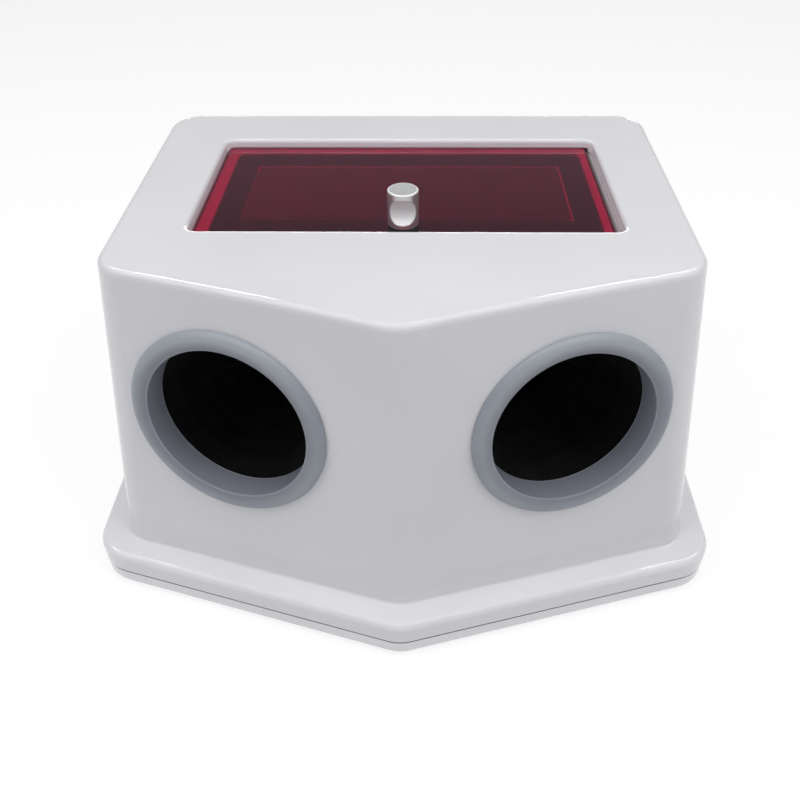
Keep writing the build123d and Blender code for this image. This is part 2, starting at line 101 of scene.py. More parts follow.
def eased_corner(before: Pair, corner: Pair, after: Pair, reach: float, steps: int = 6) -> np.ndarray:
    """Rounds one corner of a section with a quadratic curve.

    Args:
        before: the point before the corner.
        corner: the corner.
        after: the point after it.
        reach: the curve's distance from the corner at its ends.
        steps: points on the curve.

    Returns:
        Steps by 2.
    """
    at = np.array(corner)
    back, ahead = np.array(before) - at, np.array(after) - at
    start = at + back / np.linalg.norm(back) * reach
    end = at + ahead / np.linalg.norm(ahead) * reach
    t = np.linspace(0.0, 1.0, steps)[:, None]
    return (1 - t) ** 2 * start + 2 * t * (1 - t) * at + t**2 * end


def read(items: bpy.types.bpy_prop_collection, field: str, each: int, kind: type = float) -> np.ndarray:
    """Reads a field of every vertex or loop.

    Args:
        items: the vertices or loops.
        field: its name.
        each: numbers an item.
        kind: their type.

    Returns:
        The numbers in one row.
    """
    values = np.empty(len(items) * each, kind)
    items.foreach_get(field, values)
    return values


def grid_quads(rows: int, columns: int, joined: bool) -> np.ndarray:
    """Faces of a grid whose points run row by row, each row closed on itself.

    Args:
        rows: their number.
        columns: points in a row.
        joined: whether the last row joins the first.

    Returns:
        Four point numbers a face.
    """
    row = np.arange(rows if joined else rows - 1)[:, None]
    column = np.arange(columns)[None, :]
    here, above, beside = row * columns, (row + 1) % rows * columns, (column + 1) % columns
    return np.stack([here + column, here + beside, above + beside, above + column], axis=-1).reshape(-1, 4)


def signed_volume(points: np.ndarray, quads: np.ndarray) -> float:
    """Volume inside the quads, negative where they face inwards: a sixth of the sum of a . (b x c).

    Args:
        points: from a place inside.
        quads: four point numbers a face.

    Returns:
        The volume.
    """
    a, b, c, d = (points[quads[:, i]] for i in range(4))
    first = np.einsum("ij,ij->i", a, np.cross(b, c))
    second = np.einsum("ij,ij->i", a, np.cross(c, d))
    return float((first + second).sum() / 6.0)


def new_piece(name: str, points: np.ndarray, faces: list[list[int]], smooth_below: float) -> Piece:
    """Makes a mesh object at the origin.

    Args:
        name: the piece's name.
        points: x, y, z of each point.
        faces: point numbers of each face.
        smooth_below: edges that bend less than this many degrees are shaded smooth.

    Returns:
        The object, linked to the scene.
    """
    mesh = bpy.data.meshes.new(name)
    mesh.from_pydata(points.tolist(), [], faces)
    mesh.validate()
    mesh.update()
    mesh.polygons.foreach_set("use_smooth", np.ones(len(mesh.polygons), bool))
    mesh.set_sharp_from_angle(angle=math.radians(smooth_below))
    piece = bpy.data.objects.new(name, mesh)
    bpy.context.scene.collection.objects.link(piece)
    return piece


def grid_piece(name: str, grid: np.ndarray, smooth_below: float, ends: Ends = Ends.JOINED) -> Piece:
    """A piece from rows of points that go round it, with its faces turned outwards.

    Args:
        name: its name.
        grid: rows by columns by 3. With caps they go up, and round anticlockwise.
        smooth_below: as for new_piece.
        ends: what the first and last rows do.

    Returns:
        The object.
    """
    rows, columns = grid.shape[:2]
    points = grid.reshape(-1, 3)
    quads = grid_quads(rows, columns, ends is Ends.JOINED)
    if signed_volume(points - points.mean(axis=0), quads) < 0:
        quads = quads[:, ::-1]
    faces = quads.tolist()
    if ends is Ends.CAPPED:
        faces += [list(range(columns))[::-1], list(range((rows - 1) * columns, rows * columns))]
    return new_piece(name, points, faces, smooth_below)


def merged_copy(node: str, name: str) -> Piece:
    """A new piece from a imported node's mesh, with its loose triangles joined where their points meet.

    Args:
        node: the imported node.
        name: the new piece's name.

    Returns:
        The piece. Points within 0.002 mm are one, and flattened triangles are left out.
    """
    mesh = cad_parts[node].data
    points = read(mesh.vertices, "co", 3).reshape(-1, 3)
    keys = np.round(points / (0.002 * MM)).astype(np.int64)
    _, first, number = np.unique(keys, axis=0, return_index=True, return_inverse=True)
    triangles = number.reshape(-1)[read(mesh.loops, "vertex_index", 1, np.int32)].reshape(-1, 3)
    whole = (triangles != np.roll(triangles, 1, axis=1)).all(axis=1)
    return new_piece(name, points[first], triangles[whole].tolist(), 30.0)


def squeeze_height(piece: Piece, under: float, over: float) -> None:
    """Makes a plate thinner, so that it lies on an air film.

    Args:
        piece: the plate.
        under: how far its underside comes up.
        over: how far its top comes down.
    """
    mesh = piece.data
    points = read(mesh.vertices, "co", 3)
    z = points[2::3]
    low, high = z.min(), z.max()
    points[2::3] = low + under + (z - low) * (high - low - under - over) / (high - low)
    mesh.vertices.foreach_set("co", points)
    mesh.update()


def lay_metres(piece: Piece, wide: float, long: float, rows: int, columns: int) -> None:
    """Gives a grid piece a UV map in metres. Faces at the seam run on past the width.

    Args:
        piece: the grid piece, all quads.
        wide: its way round.
        long: its way along.
        rows: rows in its grid.
        columns: points in a row.
    """
    numbers = read(piece.data.loops, "vertex_index", 1, np.int32)
    corners = (numbers % columns).reshape(-1, 4)
    seam = (corners.max(axis=1) - corners.min(axis=1)) > columns // 2
    corners = np.where(seam[:, None] & (corners < columns // 2), corners + columns, corners)
    layer = piece.data.uv_layers.new(name="metres")
    uv = np.stack([corners.reshape(-1) / columns * wide, numbers // columns / (rows - 1) * long], axis=-1)
    layer.data.foreach_set("uv", uv.reshape(-1).astype(np.float32))


# Node trees


class Wiring:
    """Adds nodes to the emptied tree of a material or a world."""

    def __init__(self, block: bpy.types.ID) -> None:
        """Empties the tree.

        Args:
            block: the material or the world.
        """
        block.use_nodes = True
        self.tree = block.node_tree
        self.tree.nodes.clear()

    def add(self, kind: str, inputs: Inputs, **settings: object) -> bpy.types.Node:
        """Adds a node.

        Args:
            kind: its type, without ShaderNode.
            inputs: constants and wires by the input's name or number.
            settings: its own settings.

        Returns:
            The node.
        """
        node = self.tree.nodes.new("ShaderNode" + kind)
        for key, value in settings.items():
            setattr(node, key, value)
        for key, value in inputs.items():
            if isinstance(value, Wire):
                self.tree.links.new(value.socket, node.inputs[key])
            else:
                node.inputs[key].default_value = value
        return node

    def wire(self, kind: str, inputs: Inputs, output: int | str = 0, **settings: object) -> "Wire":
        """Adds a node and gives the wire from one of its outputs."""
        return Wire(self, self.add(kind, inputs, **settings).outputs[output])

    def ray(self, *kinds: str) -> "Wire":
        """One for rays of the named kinds, nought for the others."""
        wires = [self.wire("LightPath", {}, f"Is {kind} Ray") for kind in kinds]
        return wires[0].most(*wires[1:])


def operator(name: str) -> Callable[..., "Wire"]:
    """A method of Wire that adds the Math node of this name."""
    return lambda wire, *others: wire.math(name, *others)


@dataclass(frozen=True)
class Wire:
    """A value on its way between nodes. Arithmetic on a number adds a Math node."""

    wiring: Wiring
    socket: bpy.types.NodeSocket

    def math(self, operation: str, *others: object) -> "Wire":
        """The Math node of that operation on this number and the others."""
        return self.wiring.wire("Math", dict(enumerate((self, *others))), operation=operation)

    __add__, __sub__, __mul__ = operator("ADD"), operator("SUBTRACT"), operator("MULTIPLY")
    __lt__, __gt__, __abs__ = operator("LESS_THAN"), operator("GREATER_THAN"), operator("ABSOLUTE")

    def __rsub__(self, other: float) -> "Wire":
        """The difference from a constant."""
        return self.wiring.wire("Math", {0: other, 1: self}, operation="SUBTRACT")

    def most(self, *others: "Wire") -> "Wire":
        """The largest of this and the others."""
        return functools.reduce(lambda first, second: first.math("MAXIMUM", second), others, self)

    def ranged(self, low: float, high: float, to_low: float = 0.0, to_high: float = 1.0) -> "Wire":
        """Maps the number from one range to another and holds it at the ends."""
        return self.wiring.wire("MapRange", dict(enumerate((self, low, high, to_low, to_high))))


@dataclass(frozen=True)
class Pattern:
    """Cloudy noise, whose middle part, cut, is spread over a range from low to high.

    scale is about the blobs a metre, detail how finely they break up, stretch the scale by axis.
    """

    scale: float
    detail: float = 2.0
    low: float = 0.0
    high: float = 1.0
    cut: Pair = (0.3, 0.7)
    stretch: Triple | None = None


class Shade(Wiring):
    """The wiring of one finish, with the steps that finishes share."""

    def __init__(self, material: Material) -> None:
        """Starts with the piece's own coordinates.

        Args:
            material: the material to fill.
        """
        super().__init__(material)
        self.place = self.wire("TexCoord", {}, "Object")

    def normal(self) -> Wire:
        """Which way the surface faces."""
        return self.wire("NewGeometry", {}, "Normal")

    def split(self, vector: Wire) -> list[Wire]:
        """The X, Y and Z of a vector."""
        return [Wire(self, socket) for socket in self.add("SeparateXYZ", {0: vector}).outputs]

    def join(self, x: object, y: object, z: object) -> Wire:
        """A vector from its three parts."""
        return self.wire("CombineXYZ", {0: x, 1: y, 2: z})

    def vector(self, operation: str, first: Wire, second: object, output: int = 0) -> Wire:
        """A step of arithmetic on vectors, whose output 0 is a vector and 1 a number."""
        return self.wire("VectorMath", {0: first, 1: second}, output, operation=operation)

    def dot(self, first: Wire, second: object) -> Wire:
        """The dot product of two vectors."""
        return self.vector("DOT_PRODUCT", first, second, 1)

    def noise(self, pattern: Pattern, place: Wire | None = None) -> Wire:
        """A pattern's plain noise.

        Args:
            pattern: the pattern.
            place: coordinates instead of the piece's own.

        Returns:
            A number from 0 to 1.
        """
        place = place or self.place
        if pattern.stretch:
            place = self.wire("Mapping", {"Vector": place, "Scale": pattern.stretch})
        return self.wire("TexNoise", {"Vector": place, "Scale": pattern.scale, "Detail": pattern.detail})

    def cloud(self, pattern: Pattern) -> Wire:
        """A pattern spread over its range."""
        return self.noise(pattern).ranged(*pattern.cut, pattern.low, pattern.high)

    def weave(self, across: float, along: float) -> Wire:
        """Crossed waves of these lengths on the piece's own metres, from -1 to 1."""
        u, v, _ = self.split(self.wire("TexCoord", {}, "UV"))
        return (u * (TURN / across)).math("SINE") * (v * (TURN / along)).math("SINE")

    def blend(self, factor: Wire | Pattern, first: object, second: object) -> Wire:
        """Mixes two colours; inputs 6 and 7 and output 2 of a Mix node are its colours."""
        factor = self.cloud(factor) if isinstance(factor, Pattern) else factor
        return self.wire("Mix", {0: factor, 6: first, 7: second}, 2, data_type="RGBA")

    def relief(self, height: Wire | Pattern, distance: float, **under: Wire) -> Wire:
        """A bump whose full height is distance, laid over another one's Normal where that is given."""
        height = self.noise(height) if isinstance(height, Pattern) else height
        return self.wire("Bump", {"Height": height, "Distance": distance, **under})


# Finishes


def tone(red: int, green: int, blue: int) -> Colour:
    """A colour as it reads on a screen, 0 to 255, in the linear values that shaders take."""
    part = np.array([red, green, blue]) / 255.0
    linear = np.where(part <= 0.04045, part / 12.92, ((part + 0.055) / 1.055) ** 2.4)
    return (*linear.tolist(), 1.0)


class Finish:
    """A finish: its title, and what it puts into a principled surface."""

    title: str

    def inputs(self, shade: Shade) -> Inputs:
        """The surface's inputs by name."""
        raise NotImplementedError


@functools.cache
def made(finish: Finish) -> Material:
    """The finish's material, built the first time that it is asked for.

    Args:
        finish: the finish.

    Returns:
        The material.
    """
    material = bpy.data.materials.new(finish.title)
    shade = Shade(material)
    shade.add("OutputMaterial", {"Surface": shade.wire("BsdfPrincipled", finish.inputs(shade))})
    return material


@dataclass(frozen=True)
class WallPlanes:
    """The drafted outer faces of the box, as planes that lean in towards the top, and the lid's recess.

    A point's depth is its distance outside the nearest face, so it is negative inside the walls:
    the most of (normal . point + slope * height - reach) over the back, side and front faces.
    """

    height: float = 214 * MM
    roll_start: float = -60 * MM
    roll_radius: float = 340 * MM
    flange_top: float = 26.5 * MM
    flange_out: float = 16 * MM
    back: tuple[float, float, float, float] = (0.0, 1.0, 4.6, 124.5 * MM)
    side: tuple[float, float, float, float] = (0.99985, -0.01716, 6.5, 154.34 * MM)
    front: tuple[float, float, float, float] = (0.28101, -0.95970, 4.6, 119.195 * MM)
    recess: Pair = (2.0 * MM, 19.25 * MM)

    def depth(self, shade: Shade, mirrored: Wire, at_flange: bool) -> Wire:
        """Depth below the body's faces, or below the foot flange's upright edge.

        Args:
            shade: the finish in hand.
            mirrored: object coordinates with X made positive.
            at_flange: measures from the flange's edge.

        Returns:
            The depth.
        """
        depths = []
        for across, along, draft, reach in (self.back, self.side, self.front):
            slope = math.tan(math.radians(draft))
            if at_flange:
                lean, whole = 0.0, reach + slope * (self.height - self.flange_top) + self.flange_out
            else:
                lean, whole = slope, reach + slope * self.height
            depths.append(shade.dot(mirrored, (across, along, lean)) - whole)
        return depths[0].most(*depths[1:])

    def over_top(self, y: Wire, z: Wire) -> Wire:
        """Height over the top, which is flat at the back and rolls down to the front along an arc.

        Args:
            y: the point's Y.
            z: the point's Z.

        Returns:
            The distance from the arc's axis, level behind the start, less the radius.
        """
        ahead = (y - self.roll_start).math("MINIMUM", 0.0)
        above = z - (self.height - self.roll_radius)
        return (ahead * ahead + above * above).math("SQRT") - self.roll_radius

    def in_recess(self, shade: Shade, half_x: float, half_y: float, floor: float) -> Wire:
        """One above the floor and within these distances of the recess's middle."""
        x, y, z = shade.split(shade.place)
        return (abs(x - self.recess[0]) < half_x) * (abs(y - self.recess[1]) < half_y) * (z > floor)


@dataclass(frozen=True)
class GlossWhite(Finish):
    """Hand-finished white gloss moulding: slow waves, fine orange peel, matt black paint on its inside.

    The shell has painted light at its foot and on the walls of the lid's recess, and painted shade,
    tinted red, in the gap round the lid; the base has painted shade on its top in the seam. A fade is
    from and to a place, and a recess box is half its X, half its Y and its floor.
    """

    moulding: Moulding
    white: Colour = tone(232, 232, 234)
    grey: Colour = tone(226, 226, 228)
    speck: Colour = tone(170, 168, 164)
    # Painted light: the shell's foot and flange are paler, standing in for light from the floor.
    foot: Colour = tone(236, 236, 238)
    # Painted light: the low walls of the lid's recess are paler.
    painted_recess_light: Colour = tone(246, 246, 248)
    # Painted shade, tinted red, in the gap round the lid.
    painted_gap_shade: Colour = tone(36, 14, 21)
    # Painted shade: the base's top, seen in the seam under the flange, is dark.
    seam: Colour = tone(24, 24, 26)
    paint: Colour = (0.010, 0.010, 0.011, 1.0)
    clouds: Pattern = Pattern(9.0, 3.0)
    dust: Pattern = Pattern(2600.0, 1.0, 0.0, 0.25, (0.74, 0.80))
    gloss: Pattern = Pattern(60.0, 4.0, 0.024, 0.051, (0.35, 0.75))
    matt: Pattern = Pattern(900.0, 2.0, 0.64, 0.80)
    waves: Pattern = Pattern(16.0, 1.0)
    wave_depth: float = 0.10 * MM
    peel: Pattern = Pattern(240.0, 1.0)
    peel_depth: float = 0.006 * MM
    foot_fade: Pair = (25 * MM, 40 * MM)
    rim_fade: Pair = (210.5 * MM, 213.0 * MM)
    seam_fade: Pair = (11.5 * MM, 11.9 * MM)
    seam_share: float = 0.95
    recess_skin: Triple = (118.4 * MM, 62.9 * MM, 205.5 * MM)
    recess_wall: Triple = (118.2 * MM, 62.7 * MM, 204.4 * MM)
    lid: Pair = (0.7 * MM, 19.25 * MM)
    lid_half: Pair = (113.0 * MM, 59.0 * MM)
    left_fade: Pair = (206.4 * MM, 207.8 * MM)
    right_fade: Pair = (115.6 * MM, 119.6 * MM)
    back_fade: Pair = (208.7 * MM, 209.4 * MM)
    ledge_top: float = 207.0 * MM
    gap_shade_share: float = 0.97
    wall: float = 2.0 * MM
    outer_wall: float = 12.0 * MM
    upward: float = 20 * MM
    foot_top: float = 22.6 * MM
    tray_rim: float = 19.0 * MM
    tray_floor: float = 5.6 * MM

    @property
    def title(self) -> str:
        """The material's name."""
        return f"{self.moulding.value}_white"

    def inputs(self, shade: Shade) -> Inputs:
        """White outside, black inside, with what this moulding has of its own.

        Args:
            shade: the finish in hand.

        Returns:
            The surface's inputs by name.
        """
        _, _, z = shade.split(shade.place)
        inside = self.painted_side(shade)
        skin = shade.blend(self.dust, shade.blend(self.clouds, self.white, self.grey), self.speck)
        if self.moulding is Moulding.HOUSING:
            recess = WallPlanes().in_recess(shade, *self.recess_skin)
            # Painted light: paler on the foot and flange, fading out upwards.
            skin = shade.blend(z.ranged(*self.foot_fade, 1.0, 0.0), skin, self.foot)
            # Painted light: paler walls in the lid's recess, fading out towards the top.
            skin = shade.blend(recess * z.ranged(*self.rim_fade, 1.0, 0.0), skin, self.painted_recess_light)
            # Painted shade in the gap round the lid.
            skin = shade.blend(recess * self.lid_gap(shade), skin, self.painted_gap_shade)
        else:
            # Painted shade on the base's top in the seam.
            skin = shade.blend(z.ranged(*self.seam_fade, 0.0, self.seam_share), skin, self.seam)
        return {
            "Base Color": shade.blend(inside, skin, self.paint),
            "Roughness": inside * shade.cloud(self.matt) + (1.0 - inside) * shade.cloud(self.gloss),
            "IOR": 1.5,
            "Normal": shade.relief(self.peel, self.peel_depth, Normal=shade.relief(self.waves, self.wave_depth)),
        }

    def lid_gap(self, shade: Shade) -> Wire:
        """Painted shade in the gap round the lid, up to a line at the back, a fade up the left and out on the right.

        Args:
            shade: the finish in hand.

        Returns:
            The painted shade's share.
        """
        x, y, z = shade.split(shade.place)
        beside_x = abs(x - self.lid[0]) > self.lid_half[0]
        beside_y = abs(y - self.lid[1]) > self.lid_half[1]
        outwards = x.ranged(*self.right_fade, 1.0, 0.0)
        on_ledge = (x > 0.0) * (z < self.ledge_top)
        on_side = on_ledge.most(z.ranged(*self.left_fade, 1.0, 0.0)) * outwards
        at_back = beside_y * z.ranged(*self.back_fade, 1.0, 0.0) * outwards
        return (beside_x * on_side).most(at_back) * self.gap_shade_share

    def painted_side(self, shade: Shade) -> Wire:
        """One inside the walls, where a face that looks outwards has to lie deeper, and nought elsewhere.

        Args:
            shade: the finish in hand.

        Returns:
            One where the paint is.
        """
        planes = WallPlanes()
        x, y, z = shade.split(shade.place)
        mirrored = shade.join(abs(x), y, z)
        below_edge = planes.depth(shade, mirrored, True)
        if self.moulding is Moulding.BASE:
            return (below_edge < -self.tray_rim) * (z > self.tray_floor)
        outwards = shade.dot(shade.normal(), shade.join(x, y, self.upward))
        limit = (outwards > 0.0) * -self.outer_wall - self.wall
        room = (planes.depth(shade, mirrored, False) < limit) * (planes.over_top(y, z) < -self.wall)
        room = room * (1.0 - planes.in_recess(shade, *self.recess_wall))
        return room.most((below_edge < limit) * (z < self.foot_top))


@dataclass(frozen=True)
class PortPlace:
    """Where a hand port stands: the right one's centre, and its turn outwards and lean back in degrees."""

    centre: Triple = (91.268 * MM, -104.258 * MM, 133.1 * MM)
    turn: float = 16.3206
    lean: float = 4.6

    def axes(self, hand: Hand) -> tuple[np.ndarray, np.ndarray, np.ndarray, np.ndarray]:
        """Works out a port's own axes.

        Args:
            hand: which port.

        Returns:
            Its centre and its unit vectors across, up the face and out of the box.
        """
        sign = hand.value
        turn, lean = math.radians(self.turn), math.radians(self.lean)
        centre = np.array([sign * self.centre[0], self.centre[1], self.centre[2]])
        across = np.array([math.cos(turn), sign * math.sin(turn), 0.0])
        flat = np.array([sign * math.sin(turn), -math.cos(turn), 0.0])
        out = flat * math.cos(lean) + np.array([0.0, 0.0, math.sin(lean)])
        return centre, across, np.cross(out, across), out


@dataclass(frozen=True)
class PortGrey(Finish):
    """Blue-grey moulded rubber of the hand ports: satin and fine grained, with painted light and shade.

    Painted light on the top fades in with Z and painted shade on the right port's right side with X;
    the inner slope's painted shade, the lip's painted highlight and the bore go with the radius; and a
    painted highlight at the bore's far end goes along the axis.
    """

    title: str = "port_grey_rubber"
    base: Colour = tone(149, 154, 162)
    rubbed: Colour = tone(158, 163, 171)
    # Painted light: the top of each ring is paler.
    painted_top_light: Colour = tone(169, 174, 180)
    # Painted shade: darker on the right port's right side.
    painted_right_shade: Colour = tone(134, 139, 148)
    # Painted shade: the inner slope of the bezel is darker.
    inner: Colour = tone(134, 138, 146)
    bore: Colour = tone(139, 143, 153)
    # Painted highlight: the rounded lip round the bore is paler.
    lip: Colour = tone(152, 156, 164)
    # Painted highlight: a bright band at the far end of the bore.
    painted_bore_highlight: Colour = tone(205, 208, 212)
    top_light_fade: Triple = (150 * MM, 182 * MM, 0.9)
    right_shade_fade: Triple = (124 * MM, 146 * MM, 0.8)
    slope_fade: Pair = (48.0 * MM, 52.5 * MM)
    lip_fade: Pair = (46.5 * MM, 46.9 * MM)
    bore_fade: Pair = (46.05 * MM, 46.3 * MM)
    bore_highlight_fade: Pair = (-12.1 * MM, -11.8 * MM)
    clouds: Pattern = Pattern(38.0, 4.0, cut=(0.35, 0.7))
    wobble: Pattern = Pattern(90.0, 2.0, -0.2 * MM, 0.2 * MM, (0.0, 1.0))
    rough: Pattern = Pattern(120.0, 3.0, 0.31, 0.43)
    grain: Pattern = Pattern(1900.0)
    grain_depth: float = 0.012 * MM

    def inputs(self, shade: Shade) -> Inputs:
        """Colours that follow the radius, the length of the cross product with the port's axis.

        Args:
            shade: the finish in hand.

        Returns:
            The surface's inputs by name.
        """
        x, y, z = shade.split(shade.place)
        centre, _, _, out = (tuple(part.tolist()) for part in PortPlace().axes(Hand.RIGHT))
        spoke = shade.vector("SUBTRACT", shade.join(abs(x), y, z), centre)
        radius = shade.wire("VectorMath", {0: shade.vector("CROSS_PRODUCT", spoke, out)}, 1, operation="LENGTH")
        uneven = radius + shade.cloud(self.wobble)
        colour = shade.blend(self.clouds, self.base, self.rubbed)
        # Painted light on the top, painted shade on the right port's right side.
        for value, (low, high, share), over in ((z, self.top_light_fade, self.painted_top_light), (x, self.right_shade_fade, self.painted_right_shade)):
            colour = shade.blend(value.ranged(low, high, 0.0, share), colour, over)
        # Painted shade on the inner slope.
        colour = shade.blend(uneven.ranged(*self.slope_fade), self.inner, colour)
        # Painted highlight on the lip.
        colour = shade.blend(uneven.ranged(*self.lip_fade), self.lip, colour)
        # Painted highlight at the bore's far end.
        far = shade.blend(shade.dot(spoke, out).ranged(*self.bore_highlight_fade), self.painted_bore_highlight, self.bore)
        return {
            "Base Color": shade.blend(radius.ranged(*self.bore_fade), far, colour),
            "Roughness": shade.cloud(self.rough),
            "IOR": 1.48,
            "Normal": shade.relief(self.grain, self.grain_depth),
        }


@dataclass(frozen=True)
class TwoTone(Finish):
    """Two colours in clouds, with a roughness and a relief in patterns of their own.

    A fade is an axis and from and to a place, over which the second colour comes in. more holds the
    surface's other inputs.
    """

    title: str
    first: Colour
    second: Colour
    clouds: Pattern
    rough: Pattern
    grain: Pattern | None = None
    depth: float = 0.0
    fades: tuple[tuple[int, float, float], ...] = ()
    more: tuple[tuple[str, object], ...] = ()

    def inputs(self, shade: Shade) -> Inputs:
        """The colours by the clouds and the furthest fade, and the patterns.

        Args:
            shade: the finish in hand.

        Returns:
            The surface's inputs by name.
        """
        share = shade.cloud(self.clouds)
        if self.fades:
            place = shade.split(shade.place)
            first, *others = (place[axis].ranged(low, high) for axis, low, high in self.fades)
            share = first.most(*others) + share
        surface = {"Base Color": shade.blend(share, self.first, self.second), "Roughness": shade.cloud(self.rough)}
        if self.grain:
            surface["Normal"] = shade.relief(self.grain, self.depth)
        return surface | dict(self.more)


def dark_moulded(title: str, base: Colour, rough: float, grain: float, depth: float) -> TwoTone:
    """A dark plastic, rubber or foam with a moulded grain.

    Args:
        title: the material's name.
        base: its colour, which clouds over a little paler.
        rough: its roughness.
        grain: blobs a metre of its surface.
        depth: how deep they are.

    Returns:
        The finish.
    """
    paler = tuple(min(part * 1.35 + 0.002, 1.0) for part in base[:3]) + (1.0,)
    patches = Pattern(grain * 0.4, 2.0, rough - 0.06, rough + 0.06)
    return TwoTone(title, base, paler, Pattern(45.0, 3.0), patches, Pattern(grain), depth)


GLINT = ("Specular Tint", (0.3, 0.3, 0.3, 1.0))
# Clear deep-red acrylic of the window, with finger smears in its polish.
SAFELIGHT_RED = TwoTone(
    "safelight_red", (0.46, 0.014, 0.13, 1.0), (0.40, 0.011, 0.11, 1.0), Pattern(14.0, 2.0, 0.0, 0.12),
    Pattern(26.0, 4.0, 0.015, 0.065, (0.45, 0.75), (1.0, 2.4, 1.0)),
    more=(("IOR", 1.49), GLINT, ("Transmission Weight", 1.0)),
)
# Second red plate, slightly milky, so that it hides the dark room, with painted light: brighter on its left and
# darker to the right.
MILKY_RED = TwoTone(
    "milky_red", (0.27, 0.030, 0.070, 1.0), (0.105, 0.028, 0.060, 1.0), Pattern(12.0, 3.0, -0.15, 0.15),
    Pattern(300.0, 2.0, 0.16, 0.24), fades=((0, -90 * MM, 95 * MM),),
    more=(("IOR", 1.49), GLINT, ("Transmission Weight", 0.80)),
)
# Sawn edge of the second plate in painted light: bright at the back and on the right, dark elsewhere.
PAINTED_LIGHT_EDGE = TwoTone(
    "painted_light_red_edge", (0.040, 0.008, 0.016, 1.0), (0.42, 0.16, 0.26, 1.0), Pattern(700.0, 2.0, -0.2, 0.1),
    Pattern(1500.0, 1.0, 0.35, 0.55), Pattern(1800.0, 1.0), 0.02 * MM,
    fades=((1, 40 * MM, 53 * MM), (0, 90 * MM, 94 * MM)),
)
# Bright zinc on the screws and the washer, clouded with handling.
ZINC_STEEL = TwoTone(
    "zinc_steel", (0.62, 0.62, 0.63, 1.0), (0.50, 0.50, 0.49, 1.0), Pattern(420.0, 3.0),
    Pattern(420.0, 3.0, 0.26, 0.42), Pattern(2600.0, 1.0), 0.006 * MM, more=(("Metallic", 1.0),),
)
# Smoke-grey polypropylene of the cups: waxy, with faint rings left by the mould.
SMOKE_CUP = TwoTone(
    "smoke_polypropylene", (0.100, 0.105, 0.110, 1.0), (0.130, 0.135, 0.140, 1.0), Pattern(50.0, 3.0),
    Pattern(260.0, 1.0, 0.22, 0.34, stretch=(0.02, 0.02, 1.0)), Pattern(260.0, 1.0, stretch=(0.02, 0.02, 1.0)),
    0.03 * MM, more=(("Subsurface Weight", 0.15), ("Subsurface Scale", 2.0 * MM), ("IOR", 1.49)),
)
RING_BLACK = dark_moulded("ring_black", (0.018, 0.018, 0.019, 1.0), 0.45, 1300.0, 0.015 * MM)
RACK_BLACK = dark_moulded("rack_black", (0.022, 0.022, 0.024, 1.0), 0.48, 1100.0, 0.02 * MM)
GASKET_FOAM = dark_moulded("gasket_foam", (0.030, 0.030, 0.032, 1.0), 0.85, 1400.0, 0.10 * MM)
FOOT_RUBBER = dark_moulded("foot_rubber", (0.020, 0.020, 0.021, 1.0), 0.70, 900.0, 0.03 * MM)


@dataclass(frozen=True)
class TurnedAluminium(Finish):
    """Satin aluminium off a lathe: rings on the flat top, fine lines round the side.

    The side, the bevel and the scoop differ from the flat top: _metal and _rough are what each adds.
    """

    axis: Pair
    title: str = "turned_aluminium"
    base: Colour = (0.425, 0.435, 0.43, 1.0)
    worn: Colour = (0.38, 0.39, 0.385, 1.0)
    side: Colour = (0.76, 0.76, 0.77, 1.0)
    # On the bevel this pale, less metallic colour is a painted highlight of the rim; in the scoop it is the satin
    # finish.
    pale: Colour = (0.93, 0.93, 0.93, 1.0)
    lines: Pattern = Pattern(5200.0)
    line_depth: float = 0.004 * MM
    rim_radius: float = 7.4 * MM
    scoop_fade: Pair = (7.8 * MM, 8.1 * MM)
    bevel_from: float = 228.1 * MM
    level: float = 0.9
    metal: float = 0.66
    side_metal: float = 0.22
    pale_metal: float = -0.45
    scoop_pale: float = 0.95
    scoop_rough: float = 0.28
    side_rough: float = 0.08
    rough_range: tuple[float, float, float, float] = (0.25, 0.75, 0.21, 0.37)

    def inputs(self, shade: Shade) -> Inputs:
        """Lines that follow the radius on level faces and the height on the others.

        Args:
            shade: the finish in hand.

        Returns:
            The surface's inputs by name.
        """
        x, y, z = shade.split(shade.vector("SUBTRACT", shade.place, (*self.axis, 0.0)))
        radius = (x * x + y * y).math("SQRT")
        flat = shade.split(shade.normal())[2] > self.level
        steep = 1.0 - flat
        lines = shade.noise(self.lines, shade.join(radius * flat + z * steep, 0.0, 0.0))
        top = z > self.bevel_from
        bevel = top * (radius > self.rim_radius)
        scooped = radius.ranged(*self.scoop_fade, 1.0, 0.0) * (1.0 - top)
        side = steep * (1.0 - scooped.most(bevel))
        # Painted highlight on the bevel; the scoop's paleness is its satin finish.
        pale = bevel.most(scooped * self.scoop_pale)
        turned = shade.blend(lines.ranged(0.3, 0.7), self.base, self.worn)
        return {
            "Base Color": shade.blend(pale, shade.blend(side, turned, self.side), self.pale),
            "Metallic": side * self.side_metal + self.metal + pale * self.pale_metal,
            "Roughness": scooped * self.scoop_rough + steep * self.side_rough + lines.ranged(*self.rough_range),
            "Normal": shade.relief(lines, self.line_depth),
        }


